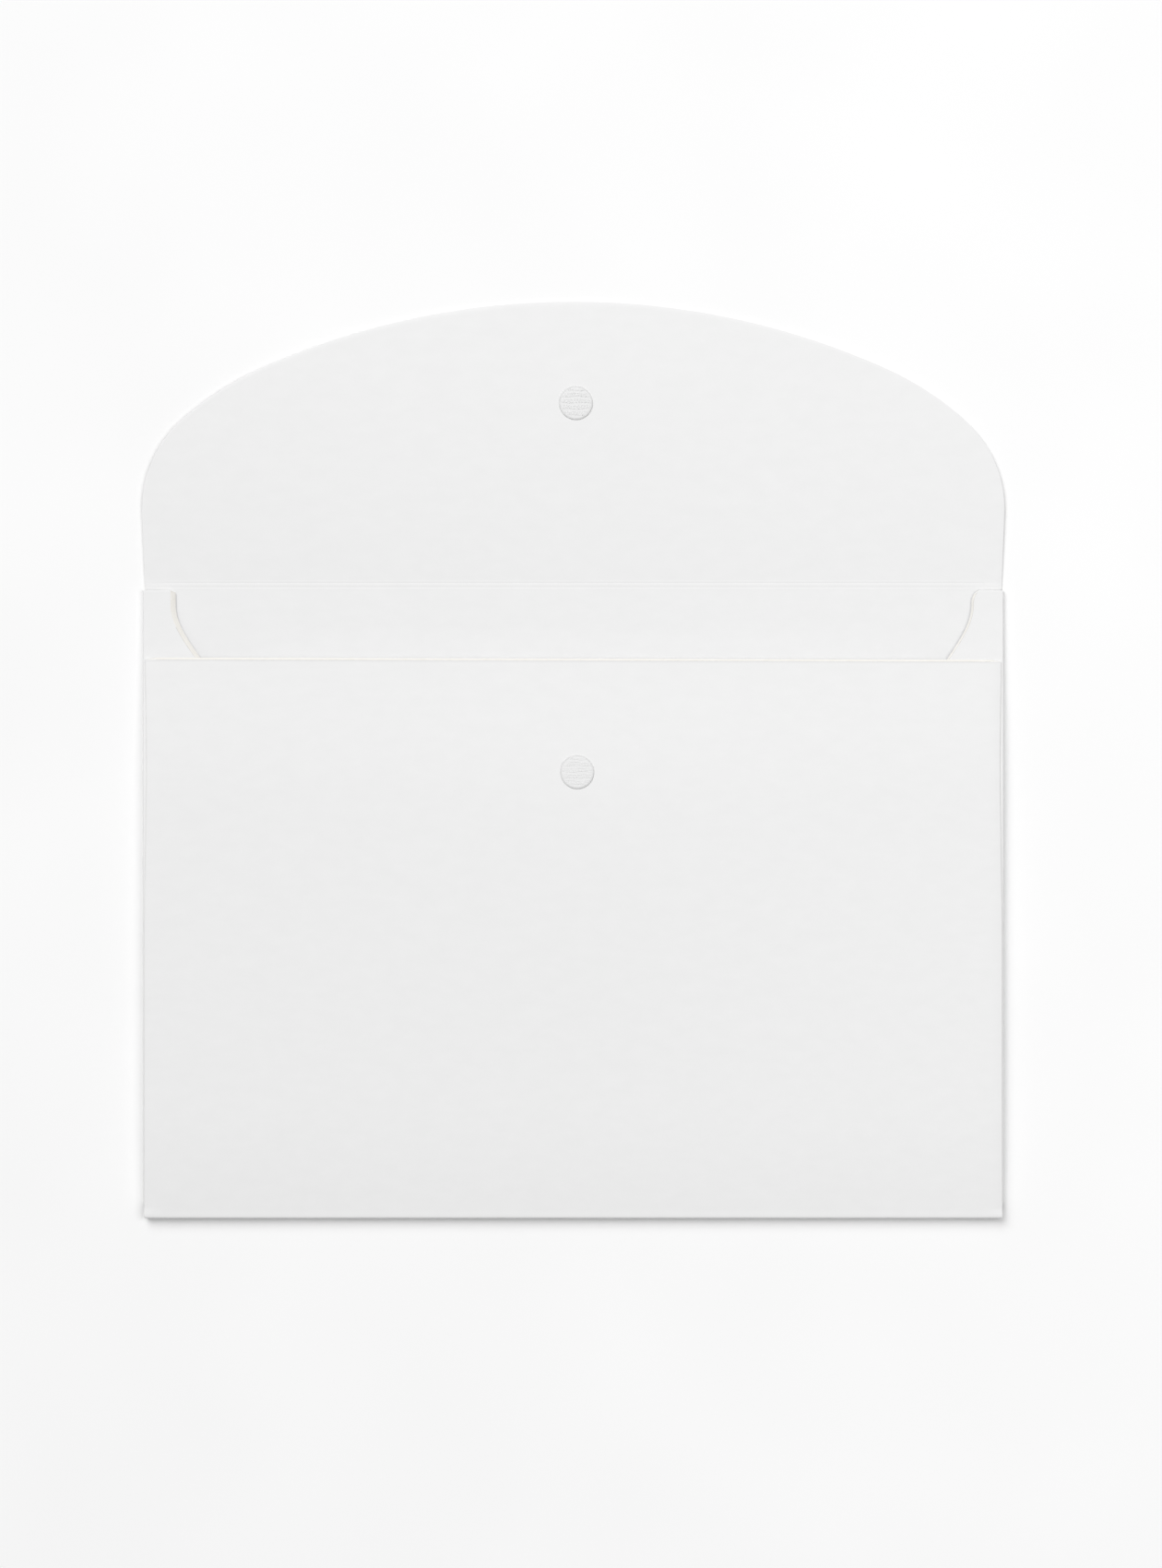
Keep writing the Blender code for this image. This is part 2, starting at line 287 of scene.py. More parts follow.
@dataclass(frozen=True)
class Finish:
    """A surface finish: a Principled shader, whose colour, roughness and relief each kind varies."""

    name: str
    colour: str
    roughness: float
    ior: float = 1.5

    def make(self) -> bpy.types.Material:
        """Builds the material, or gives the one already built.

        Returns:
            The material.
        """
        made = bpy.data.materials.get(self.name)
        if made is not None:
            return made
        made = bpy.data.materials.new(self.name)
        made.use_nodes = True
        tree = made.node_tree
        shader = tree.nodes["Principled BSDF"]
        shader.inputs["Base Color"].default_value = linear(self.colour)
        shader.inputs["Roughness"].default_value = self.roughness
        shader.inputs["IOR"].default_value = self.ior
        place = add_node(tree, "ShaderNodeTexCoord").outputs["Object"]
        self.dress(tree, shader, place)
        return made

    def dress(self, tree: Tree, shader: Node, place: Socket) -> None:
        """Adds the finish's own nodes. A plain finish has none.

        Args:
            tree: The node tree.
            shader: The shader to dress.
            place: Object coordinates.
        """

    def pattern(
        self, tree: Tree, place: Socket, sizes: Sizes, detail: float = 2.0, rough: float = 0.5
    ) -> Socket:
        """Noise whose features have the given real sizes.

        Args:
            tree: The node tree.
            place: Object coordinates.
            sizes: Feature size along X, Y and Z, in millimetres.
            detail: Octaves of finer noise.
            rough: How strong the finer octaves are.

        Returns:
            The noise's value, from 0 to 1.
        """
        scale = tuple(1.0 / (size * MM) for size in sizes)
        mapped = add_node(tree, "ShaderNodeMapping", {"Vector": place, "Scale": scale})
        links = {"Vector": mapped.outputs[0], "Scale": 1.0, "Detail": detail, "Roughness": rough}
        return add_node(tree, "ShaderNodeTexNoise", links).outputs[0]

    def vary(self, tree: Tree, shader: Node, amount: Socket, low: str, high: str) -> None:
        """Runs the base colour from one colour to another over the middle of a noise's values.

        Args:
            tree: The node tree.
            shader: The shader to colour.
            amount: The noise's value.
            low: The colour up to an amount of 0.3.
            high: The colour from an amount of 0.7.
        """
        ramp = add_node(tree, "ShaderNodeValToRGB", {"0": amount})
        first, last = ramp.color_ramp.elements[0], ramp.color_ramp.elements[1]
        first.position, last.position = 0.3, 0.7
        first.color, last.color = linear(low), linear(high)
        tree.links.new(ramp.outputs["Color"], shader.inputs["Base Color"])

    def roughen(self, tree: Tree, shader: Node, amount: Socket, low: float, high: float) -> None:
        """Runs the roughness from low to high with a noise's value.

        Args:
            tree: The node tree.
            shader: The shader to roughen.
            amount: The noise's value.
            low: The roughness where it is 0.
            high: The roughness where it is 1.
        """
        spread = add_node(tree, "ShaderNodeMapRange", {"Value": amount, "To Min": low, "To Max": high})
        tree.links.new(spread.outputs[0], shader.inputs["Roughness"])

    def relief(self, tree: Tree, shader: Node, layers: list[tuple[Socket, float, float]]) -> None:
        """Stacks bumps on the shader's normal.

        Args:
            tree: The node tree.
            shader: The shader to give the relief to.
            layers: A height socket, its strength and its depth in millimetres, for each bump.
        """
        normal: dict[str, Any] = {}
        for height, strength, depth in layers:
            links = {"Height": height, "Strength": strength, "Distance": depth * MM, **normal}
            normal = {"Normal": add_node(tree, "ShaderNodeBump", links).outputs[0]}
        tree.links.new(normal["Normal"], shader.inputs["Normal"])


@dataclass(frozen=True)
class GrainyFinish(Finish):
    """A finish with one grain, which varies its colour and stands in relief."""

    grain: Sizes = (1.0, 1.0, 1.0)  # the grain's size along X, Y and Z, in millimetres
    detail: float = 2.0
    rough: float = 0.5
    low: str = "#DDDDDD"
    high: str = "#EEEEEE"
    strength: float = 0.5
    depth: float = 0.03  # in millimetres

    def dress(self, tree: Tree, shader: Node, place: Socket) -> None:
        """Adds the grain.

        Args:
            tree: The node tree.
            shader: The shader to dress.
            place: Object coordinates.
        """
        grain = self.pattern(tree, place, self.grain, self.detail, self.rough)
        self.vary(tree, shader, grain, self.low, self.high)
        self.relief(tree, shader, [(grain, self.strength, self.depth)])


@dataclass(frozen=True)
class CoatedBoard(Finish):
    """Clay-coated folding boxboard: a smooth, evenly white face with a soft sheen, whose fibres run across
    the case and show as faint level lines when light rakes over them."""

    name: str = "coated_folding_boxboard"
    colour: str = "#E9E9E9"
    roughness: float = 0.52

    def dress(self, tree: Tree, shader: Node, place: Socket) -> None:
        """Fibre lines, an even tooth, slow waves of the sheet, and a breath of mottle in the coating.

        Args:
            tree: The node tree.
            shader: The shader to dress.
            place: Object coordinates.
        """
        # Fibre lines are about 0.2 mm apart on real board; they are drawn 1.1 mm apart so that they show.
        fibres = self.pattern(tree, place, (26.0, 1.1, 1.1), 3.0, 0.6)
        tooth = self.pattern(tree, place, (0.5, 0.5, 0.5), 2.0)
        waves = self.pattern(tree, place, (70.0, 45.0, 45.0), 1.0)
        mottle = self.pattern(tree, place, (9.0, 5.0, 5.0), 4.0, 0.6)
        self.vary(tree, shader, mottle, "#E8E8E8", "#EAEAEA")
        self.roughen(tree, shader, fibres, 0.46, 0.58)
        self.relief(tree, shader, [(waves, 0.6, 0.12), (fibres, 0.4, 0.012), (tooth, 0.4, 0.005)])


@dataclass(frozen=True)
class BoardCore(Finish):
    """The cut edge of the board: unbleached pulp between the coated faces, warm, matt and fibrous."""

    name: str = "board_core_pulp"
    colour: str = "#EBE9E4"
    roughness: float = 0.9

    def dress(self, tree: Tree, shader: Node, place: Socket) -> None:
        """Layers of pulp along the edge, and loose fibres.

        Args:
            tree: The node tree.
            shader: The shader to dress.
            place: Object coordinates.
        """
        layers = self.pattern(tree, place, (3.0, 3.0, 0.12), 3.0, 0.6)
        fibres = self.pattern(tree, place, (0.4, 0.4, 0.4), 3.0)
        self.vary(tree, shader, layers, "#E7E4DD", "#EFEDE9")
        self.relief(tree, shader, [(fibres, 0.8, 0.03)])


@dataclass(frozen=True)
class CrushedRimShade(GrainyFinish):
    """The rim of a cut, where the die breaks the coating: its grey is painted shade, a thin shadow line
    along the edge, and its uneven grain is the break.
    """

    name: str = "crushed_coating"
    # These greys are painted shade: the dark line at the cut's rim.
    colour: str = "#D6D4D0"
    roughness: float = 0.95
    grain: Sizes = (2.2, 2.2, 2.2)  # the break is uneven along the edge
    detail: float = 4.0
    rough: float = 0.7
    low: str = "#CAC8C4"
    high: str = "#E0DFDC"
    strength: float = 0.6


@dataclass(frozen=True)
class NylonTape(Finish):
    """Woven white nylon tape, heat-set: close matt threads."""

    name: str = "woven_nylon_tape"
    colour: str = "#E7E7E7"
    roughness: float = 0.8

    def dress(self, tree: Tree, shader: Node, place: Socket) -> None:
        """Warp and weft of 0.3 mm thread.

        Args:
            tree: The node tree.
            shader: The shader to dress.
            place: Object coordinates.
        """
        repeat = 0.6 * MM  # two threads
        mapped = add_node(tree, "ShaderNodeMapping", {"Vector": place, "Scale": (1.0 / repeat,) * 3})
        links = {"Vector": mapped.outputs[0], "Scale": 1.0 / math.pi, "Distortion": 0.4, "Detail": 1.0}
        warp = add_node(tree, "ShaderNodeTexWave", links, bands_direction="X").outputs["Fac"]
        weft = add_node(tree, "ShaderNodeTexWave", links, bands_direction="Y").outputs["Fac"]
        weave = add_node(tree, "ShaderNodeMath", {"0": warp, "1": weft}, operation="MULTIPLY").outputs[0]
        fuzz = self.pattern(tree, place, (0.25, 0.25, 0.25), 3.0)
        self.vary(tree, shader, fuzz, "#E2E2E2", "#ECECEC")
        self.relief(tree, shader, [(weave, 0.5, 0.03), (fuzz, 0.4, 0.02)])


@dataclass(frozen=True)
class FusedNylonAndShade(GrainyFinish):
    """The edge of a coin cut from nylon tape with heat: the threads run together and go duller, and its
    grey is painted shade, the darker ring round the dot.
    """

    name: str = "fused_nylon_edge"
    # These greys are painted shade: the ring of shadow round the dot.
    colour: str = "#DADADA"
    roughness: float = 0.7
    grain: Sizes = (0.5, 0.5, 0.5)  # beads of melted thread
    low: str = "#D3D3D3"
    high: str = "#E0E0E0"


@dataclass(frozen=True)
class NylonFilament(Finish):
    """Drawn nylon monofilament: smooth, milky and a little glossy."""

    name: str = "nylon_monofilament"
    colour: str = "#EAEAEA"
    roughness: float = 0.38
    ior: float = 1.53

    def dress(self, tree: Tree, shader: Node, place: Socket) -> None:
        """Thread to thread, the milkiness varies a little.

        Args:
            tree: The node tree.
            shader: The shader to dress.
            place: Object coordinates.
        """
        shade = self.pattern(tree, place, (0.9, 0.9, 0.9), 2.0)
        self.vary(tree, shader, shade, "#E4E4E4", "#F0F0F0")
        self.roughen(tree, shader, shade, 0.3, 0.5)


@dataclass(frozen=True)
class AcrylicAdhesive(GrainyFinish):
    """Pressure-sensitive acrylic adhesive: clear, faintly yellow and tacky, with trapped air."""

    name: str = "acrylic_adhesive"
    colour: str = "#DDDAD2"
    roughness: float = 0.3
    ior: float = 1.47
    grain: Sizes = (0.8, 0.8, 0.8)  # small bubbles
    low: str = "#D6D2C6"
    high: str = "#E4E2DC"
    strength: float = 0.6
    depth: float = 0.05


@dataclass(frozen=True)
class FloorPaint(Finish):
    """A pale floor rolled with matt emulsion: almost even, with the faintest clouding."""

    name: str = "matt_studio_floor"
    colour: str = "#F7F7F7"
    roughness: float = 0.9

    def dress(self, tree: Tree, shader: Node, place: Socket) -> None:
        """Clouding a hand wide, as a roller leaves it."""
        clouds = self.pattern(tree, place, (90.0, 90.0, 90.0), 1.0)
        self.vary(tree, shader, clouds, "#F6F6F6", "#F8F8F8")


# ---------------------------------------------------------------- sizes and forms


@dataclass(frozen=True)
class CaseSizes:
    """Where the case's panels lie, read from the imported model. All lengths are in metres."""

    sheet: float
    half_width: float
    closed_end: float
    first_crease: float
    second_crease: float
    crease_height: float
    tip: float
    spine_half_width: float
    side_rise: float
    side_flap_top: float
    side_flap_end: float
    front_top: float

    @classmethod
    def read(cls) -> CaseSizes:
        """Reads the sizes from the nodes' boxes and the joints.

        Returns:
            The sizes.
        """
        joints = {joint["name"]: joint for joint in frame["joints"]}
        first, second = joints["spine_crease"]["pos_m"], joints["flap_crease"]["pos_m"]
        flap_low, flap_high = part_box("top_flap")
        fold_low, fold_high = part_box("right_side_fold")
        return cls(
            sheet=flap_high[2] - flap_low[2],
            half_width=fold_high[0],
            closed_end=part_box("end_fold")[0][1],
            first_crease=first[1],
            second_crease=second[1],
            crease_height=first[2],
            tip=flap_high[1],
            spine_half_width=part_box("spine_strip")[1][0],
            side_rise=fold_high[2],
            side_flap_top=fold_high[1],
            side_flap_end=fold_low[1],
            front_top=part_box("front_panel")[1][1],
        )


@dataclass(frozen=True)
class PocketForm:
    """How the pocket stands open: the heights and edges of its panels at each place. In metres."""

    sizes: CaseSizes
    # The side folds' height: full along most of each side, less at both ends.
    rise_at_spine: float = 2.2 * MM
    rise_at_end: float = 3.1 * MM
    full_below: float = 40.0 * MM  # towards the spine the folds come down from here on
    pinch_starts: float = -80.0 * MM  # and towards the closed end from here on
    # The glue flaps' inner edges, measured from the middle of the case.
    inner: float = 138.0 * MM
    cut_back: float = 18.3 * MM  # each flap is this much narrower at the mouth
    cut_starts: float = 76.0 * MM
    cut_ends: float = 116.0 * MM
    corner: float = 5.0 * MM  # the length of the rounded corner at the flap's end
    corner_cut: float = 1.0 * MM
    uneven: float = 0.5 * MM  # the left one is cut back this much more and the right one less
    taper: float = 13.0 * MM  # each flap is this much narrower at the closed end
    taper_starts: float = -100.0 * MM
    # The front panel over them.
    lift: float = 0.5 * MM  # from a glue flap's upper face to the front panel's underside
    pressed: float = 0.38 * MM  # how far its sides are pressed down on the folds
    press_width: float = 3.5 * MM
    overhang: float = 0.35 * MM  # how far it reaches past the line where the folds begin
    crown_at_mouth: float = 0.25 * MM
    crown_at_middle: float = 0.9 * MM
    crown_full: float = 15.0 * MM  # it bulges most from here down
    # The back panel's swell inside the mouth.
    swell: float = 0.6 * MM
    swell_top: float = 108.0 * MM  # it ends here, towards the spine
    swell_top_run: float = 22.0 * MM
    swell_foot: float = 20.0 * MM  # and here, towards the closed end
    swell_foot_run: float = 60.0 * MM
    swell_side_run: float = 25.0 * MM

    def roll_radius(self) -> float:
        """The outer radius of the roll at the closed end."""
        return (self.rise_at_end + self.lift + self.sizes.sheet) / 2.0

    def rise(self, y: Any) -> Any:
        """The height of a side fold's top at y.

        Args:
            y: Places along Y.

        Returns:
            The heights there.
        """
        crease = self.sizes.first_crease
        spine = smoothstep((y - self.full_below) / (crease - self.full_below))
        roll = self.sizes.closed_end + self.roll_radius()
        end = np.clip((self.pinch_starts - y) / (self.pinch_starts - roll), 0.0, 1.0) ** 2
        full = self.sizes.side_rise
        return full + (self.rise_at_spine - full) * spine + (self.rise_at_end - full) * end

    def fold_line(self, y: Any) -> Any:
        """How far out the flat of the back reaches at y."""
        return self.sizes.half_width - self.rise(y) / 2.0

    def flap_inner(self, y: Any, side: Any = 0.0) -> Any:
        """How near the middle a glue flap reaches at y.

        Args:
            y: Places along Y.
            side: -1 for the left flap, 1 for the right one, 0 for their mean.

        Returns:
            The inner edge's distance from the middle.
        """
        mouth = smoothstep((y - self.cut_starts) / (self.cut_ends - self.cut_starts))
        end = np.clip(self.taper_starts - y, 0.0, None) / (self.taper_starts - self.sizes.side_flap_end)
        corner = np.clip((y - self.sizes.side_flap_top) / self.corner + 1.0, 0.0, 1.0) ** 2
        uneven = self.uneven * side * mouth * (1.0 - 2.0 * corner)
        return self.inner + self.cut_back * mouth + self.taper * end + self.corner_cut * corner - uneven

    def crown(self, x: Any, y: Any) -> Any:
        """How far the front bulges over its glued sides at x and y.

        Args:
            x: Places across.
            y: Places along Y.

        Returns:
            The bulge there.
        """
        mouth = smoothstep((self.sizes.front_top - y) / (self.sizes.front_top - self.crown_full))
        end = smoothstep((y - self.taper_starts) / (self.crown_full - self.taper_starts))
        height = (self.crown_at_mouth + (self.crown_at_middle - self.crown_at_mouth) * mouth) * end
        return height * np.clip(1.0 - (x / self.inner) ** 2, 0.0, None) ** 2

    def front_middle(self, x: Any, y: Any) -> Any:
        """The height of the front panel's middle layer at x and y.

        Args:
            x: Places across.
            y: Places along Y.

        Returns:
            The heights there.
        """
        inside = self.fold_line(y) - np.abs(x)
        lift = self.lift - self.pressed * (1.0 - smoothstep(inside / self.press_width))
        return self.rise(y) + lift + self.crown(x, y) + self.sizes.sheet / 2.0

    def floor_swell(self, x: Any, y: Any) -> Any:
        """How far the back panel swells up inside the mouth at x and y.

        Args:
            x: Places across.
            y: Places along Y.

        Returns:
            The swell there.
        """
        top = smoothstep((self.swell_top - y) / self.swell_top_run)
        foot = smoothstep((y - self.swell_foot) / self.swell_foot_run)
        return self.swell * top * foot * smoothstep((self.inner - np.abs(x)) / self.swell_side_run)


# ---------------------------------------------------------------- the folded sheet


@dataclass
class SheetRun:
    """One run of the folded sheet: a flat grid, bent to its place and given the board's thickness."""

    sizes: CaseSizes
    form: PocketForm
    name: str = "sheet_run"
    slot: str = "back_board"
    stands_for: tuple[str, ...] = ()
    columns: int = 40
    rows: int = 40
    seam_reach: float = 0.02 * MM  # what lies this near a seam is in it
    inside_above: float = 1.0 * MM  # what lies higher than this is no part of the back panel
    cut_round: float = 0.12 * MM  # how far the cutting die rounds an edge
    rim_round: float = 0.1 * MM  # how far the die crushes and rounds the rim of an edge that shows its core; the rounding is greyed as painted shade
    core_slant: float = 0.85 * MM  # how far such an edge slants out towards its lower face
    sharp: float = math.radians(30.0)  # an edge that turns by more than this is rounded
    smooth: float = math.radians(35.0)  # one that turns by less than this is shaded smooth
    facing: float = 0.5  # the least cosine at which a face counts as facing some way
    bend_on_panel: float = 0.5 * MM  # how far a crease's bend reaches into the panel beside it
    bend_on_spine: float = 0.9 * MM  # and into the spine

    def bend(self, across: np.ndarray, along: np.ndarray) -> np.ndarray:
        """Where the sheet's middle layer lies.

        Args:
            across: Shares across the run, 0 to 1.
            along: Shares along it, 0 to 1.

        Returns:
            Points, one row for each pair of shares, in metres.
        """
        raise NotImplementedError

    def trim(self, obj: bpy.types.Object) -> None:
        """Cuts away what the die cuts away. A plain run keeps all of its grid."""

    def seams(self) -> tuple[float, ...]:
        """Where, along Y, the run meets the next run of the same sheet."""
        return ()

    def at_seam(self, spot: Vector) -> bool:
        """Whether a place lies in one of the run's seams."""
        near = any(abs(spot.y - seam) < self.seam_reach for seam in self.seams())
        return near and spot.z < self.inside_above

    def shows_core(self, spot: Vector) -> bool:
        """Whether the cut edge at a place slants so that the board's core faces up. Few do."""
        return False

    def is_rim(self, edge: bmesh.types.BMEdge) -> bool:
        """Whether an edge is the upper rim of a cut that shows the core.

        Args:
            edge: The edge.

        Returns:
            True if it is.
        """
        if not all(self.shows_core(vert.co) for vert in edge.verts):
            return False
        return any(face.material_index == 0 and face.normal.z > self.facing for face in edge.link_faces)

    def round_edges(self, obj: bpy.types.Object, rim: bool, width: float, finish: int) -> None:
        """Rounds the cut edges, but not the seams.

        Args:
            obj: The run, with its thickness, in edit mode.
            rim: Whether to round the rims above the core, or the other edges.
            width: How far to round them.
            finish: Which of the run's finishes the rounding gets.
        """
        bpy.ops.mesh.select_mode(type="EDGE")
        bpy.ops.mesh.select_all(action="DESELECT")
        mesh = bmesh.from_edit_mesh(obj.data)
        found = 0
        for edge in mesh.edges:
            sharp = len(edge.link_faces) == 2 and edge.calc_face_angle(0.0) > self.sharp
            seam = all(self.at_seam(vert.co) for vert in edge.verts)
            edge.select = sharp and not seam and self.is_rim(edge) == rim
            found += edge.select
        bmesh.update_edit_mesh(obj.data)
        if found:
            bpy.ops.mesh.bevel(offset=width, segments=3, affect="EDGES", material=finish)

    def slant(self, obj: bpy.types.Object) -> None:
        """Slants the cut edges that show the core: the lower face reaches out further than the upper one.

        Args:
            obj: The run, with its thickness, in edit mode.
        """
        for way in self.slants():
            bpy.ops.mesh.select_mode(type="VERT")
            bpy.ops.mesh.select_all(action="DESELECT")
            mesh = bmesh.from_edit_mesh(obj.data)
            found = 0
            for face in mesh.faces:
                if face.material_index != 1 or not all(self.shows_core(vert.co) for vert in face.verts):
                    continue
                if face.normal.dot(way.normalized()) < self.facing:
                    continue
                middle = face.calc_center_median().z
                for vert in face.verts:
                    vert.select = vert.select or vert.co.z < middle
                    found += vert.select
            mesh.select_flush_mode()
            bmesh.update_edit_mesh(obj.data)
            if found:
                bpy.ops.transform.translate(value=way)

    def slants(self) -> tuple[Vector, ...]:
        """How far, and which way, each slanted edge reaches out."""
        return ()

    def ease_edges(self, obj: bpy.types.Object) -> None:
        """Rounds every cut edge, and leaves the seams square and in the board's own finish.

        Args:
            obj: The run, with its thickness.
        """
        take(obj)
        bpy.ops.object.mode_set(mode="EDIT")
        self.slant(obj)
        # The rims above the core get finish 2, a grey of painted shade along the cut.
        self.round_edges(obj, True, self.rim_round, 2)
        self.round_edges(obj, False, self.cut_round, 0)
        if self.seams():
            pick_faces(obj, lambda face: all(self.at_seam(vert.co) for vert in face.verts))
            obj.active_material_index = 0
            bpy.ops.object.material_slot_assign()
        bpy.ops.object.mode_set(mode="OBJECT")
        face_out(obj)

    def build(self) -> bpy.types.Object:
        """Makes the run.

        Returns:
            The finished piece, on a body only where its hang puts it.
        """
        obj = flat_grid(self.name, self.columns, self.rows)
        self.trim(obj)
        mould(obj, self.bend)
        face_out(obj)
        # The third finish is the cut rims' grey: painted shade.
        for finish in (CoatedBoard(), BoardCore(), CrushedRimShade()):
            obj.data.materials.append(finish.make())
        board = {"thickness": self.sizes.sheet, "offset": 0.0, "use_even_offset": True}
        modify(obj, "SOLIDIFY", **board, use_rim=True, material_offset_rim=1)
        self.ease_edges(obj)
        bpy.ops.object.shade_smooth_by_angle(angle=self.smooth)
        settle(obj)
        self.hang(obj)
        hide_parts(*self.stands_for)
        LOG.info("%s: %d faces", obj.name, len(obj.data.polygons))
        return obj

    def hang(self, obj: bpy.types.Object) -> None:
        """Puts the piece on its body."""
        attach(obj, Body.CASE.value)


@dataclass(frozen=True)
class SpineScores:
    """The score lines pressed into the spine, and the board standing slightly proud beside them."""

    sizes: CaseSizes
    depth: float = 0.05 * MM
    width: float = 0.2 * MM
    proud: float = 0.25  # how high the board stands beside them, as a share of the depth
    spread: float = 0.82 * MM  # half the distance between the two lines
    beside: float = 1.9  # how far out it stands proud, as a multiple of the spread
    shift: float = 0.15 * MM  # how far the pair of lines lies from the middle, towards the back
    fade: float = 14.0 * MM  # the lines grow faint over this much at each end
    faint: float = 0.3  # how deep they are there, as a share of the depth

    def middle(self) -> float:
        """The middle of the spine, along Y."""
        return (self.sizes.first_crease + self.sizes.second_crease) / 2.0

    def height(self, x: Any, y: Any) -> Any:
        """How far the sheet's middle layer is pressed down or pushed up at x and y.

        Args:
            x: Places across.
            y: Places along Y.

        Returns:
            The offset there, in metres.
        """
        off = y - self.middle() + self.shift

        def lines(*ways: float) -> Any:
            """How near y is to lines at these multiples of the spread: 1 on a line, and soon 0 off it."""
            return sum(np.exp(-(((off - way * self.spread) / self.width) ** 2)) for way in ways)

        ends = smoothstep((self.sizes.spine_half_width - np.abs(x)) / self.fade)
        shape = self.proud * lines(-self.beside, 0.0, self.beside) - lines(-1.0, 1.0)
        return self.depth * (self.faint + (1.0 - self.faint) * ends) * shape


@dataclass
class BackSheet(SheetRun):
    """The back panel, its side folds rolled up, its glue flaps laid inwards, and half of the spine."""

    name: str = "back_sheet"
    slot: str = "back_board"
    stands_for: tuple[str, ...] = (
        "back_panel",
        "left_side_fold",
        "right_side_fold",
        "left_glue_flap",
        "right_glue_flap",
        "spine_strip",
    )
    flat_columns: int = 30
    fold_columns: int = 16
    flap_columns: int = 12
    columns: int = 30 + 2 * (16 + 12)
    rows: int = 150
    bare_rows: int = 4  # rows beyond the folds at the closed end
    spine_rows: int = 24  # rows beyond them at the spine
    pinch_share: float = 0.24  # the share of the rows in between that lie where the folds pinch
    mouth_share: float = 0.42  # and the share that lie at the mouth
    crowding: float = 1.5  # a glue flap's columns crowd towards its inner edge by this power
    left_slant: float = 2.1 * MM  # how far the left glue flap's edge slants out
    core_drop: float = 0.5 * MM  # how far it also bends down
    core_inside: float = 1.0 * MM  # an edge shows its core from this far inside the fold line
    core_below: float = 0.4 * MM  # and from this far below the fold's end

    def seams(self) -> tuple[float, ...]:
        """The roll of the closed end, and the middle of the spine."""
        return (self.roll_line(), SpineScores(self.sizes).middle())

    def slants(self) -> tuple[Vector, ...]:
        """The two glue flaps' inner edges. The left one is cut at a flatter angle."""
        return Vector((self.left_slant, 0.0, -self.core_drop)), Vector((-self.core_slant, 0.0, 0.0))

    def shows_core(self, spot: Vector) -> bool:
        """The glue flaps' inner edges are cut aslant.

        Args:
            spot: A place in a cut edge.

        Returns:
            True if the edge is slanted there.
        """
        inside = abs(spot.x) < self.form.fold_line(spot.y) - self.core_inside
        below = spot.y < self.sizes.side_flap_top - self.core_below
        return spot.z > self.inside_above and inside and below

    def roll_line(self) -> float:
        """Where the roll of the closed end begins."""
        return self.sizes.closed_end + self.form.roll_radius()

    def row_places(self) -> np.ndarray:
        """The rows' places along Y, closer where the folds pinch, at the mouth and over the crease.

        Returns:
            The places, from the closed end's roll to the middle of the spine.
        """
        top = self.sizes.side_flap_top
        cut = self.sizes.side_flap_end
        rest = self.rows - self.bare_rows - self.spine_rows
        pinch, mouth = int(rest * self.pinch_share), int(rest * self.mouth_share)
        parts = [
            np.linspace(self.roll_line(), cut, self.bare_rows + 1)[:-1],
            np.linspace(cut, self.form.pinch_starts, pinch + 1)[:-1],
            np.linspace(self.form.pinch_starts, self.form.cut_starts, rest - pinch - mouth + 1)[:-1],
            np.linspace(self.form.cut_starts, top, mouth + 1)[:-1],
            np.linspace(top, SpineScores(self.sizes).middle(), self.spine_rows + 1),
        ]
        return np.concatenate(parts)

    def trim(self, obj: bpy.types.Object) -> None:
        """Cuts the side folds off beyond the ends of the glue flaps.

        Args:
            obj: The flat grid.
        """
        take(obj)
        bpy.ops.object.mode_set(mode="EDIT")
        low = -1.0 + 2.0 * self.bare_rows / self.rows
        high = 1.0 - 2.0 * self.spine_rows / self.rows
        reach = self.flat_columns / self.columns

        def beyond(face: bmesh.types.BMFace) -> bool:
            """Whether the face is a part of a fold beyond the cuts."""
            spot = face.calc_center_median()
            return abs(spot.x) > reach and not low < spot.y < high

        pick_faces(obj, beyond)
        bpy.ops.mesh.delete(type="FACE")
        bpy.ops.object.mode_set(mode="OBJECT")

    def bend(self, across: np.ndarray, along: np.ndarray) -> np.ndarray:
        """Flat across the back, half a turn at each side, and flat again inwards.

        Args:
            across: Shares across the run, 0 to 1.
            along: Shares along it, 0 to 1.

        Returns:
            Points, one row for each pair of shares, in metres.
        """
        places = self.row_places()
        y = np.interp(along * self.rows, np.arange(len(places)), places)
        step = (across - 0.5) * self.columns
        side = np.where(step < 0.0, -1.0, 1.0)
        step = np.abs(step)
        flat, fold = self.flat_columns / 2, self.fold_columns
        top, crease = self.sizes.side_flap_top, self.sizes.first_crease
        line = self.form.fold_line(np.minimum(y, crease))
        widen = smoothstep((y - top) / (crease - top))
        line = line + (self.sizes.spine_half_width - line) * widen
        half = self.sizes.sheet / 2.0
        bow = self.form.rise(y) / 2.0
        turn = math.pi * np.clip((step - flat) / fold, 0.0, 1.0)
        share = np.clip((step - flat - fold) / self.flap_columns, 0.0, 1.0)
        share = 1.0 - (1.0 - share) ** self.crowding
        out, back = boxy(turn)
        x = np.where(step <= flat, line * step / flat, line + (bow - half) * out)
        x = np.where(share > 0.0, line + (self.form.flap_inner(y, side) - line) * share, x)
        z = half + (bow - half) * (1.0 - back)
        relief = SpineScores(self.sizes).height(side * x, y) + self.form.floor_swell(x, y)
        z = z + np.where(step <= flat, relief, 0.0)
        return np.stack([side * x, y, z], axis=1)

    def hang(self, obj: bpy.types.Object) -> None:
        """Puts the run's place into its mesh, and hangs it on no body.

        Args:
            obj: The finished run.
        """
        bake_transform(obj)


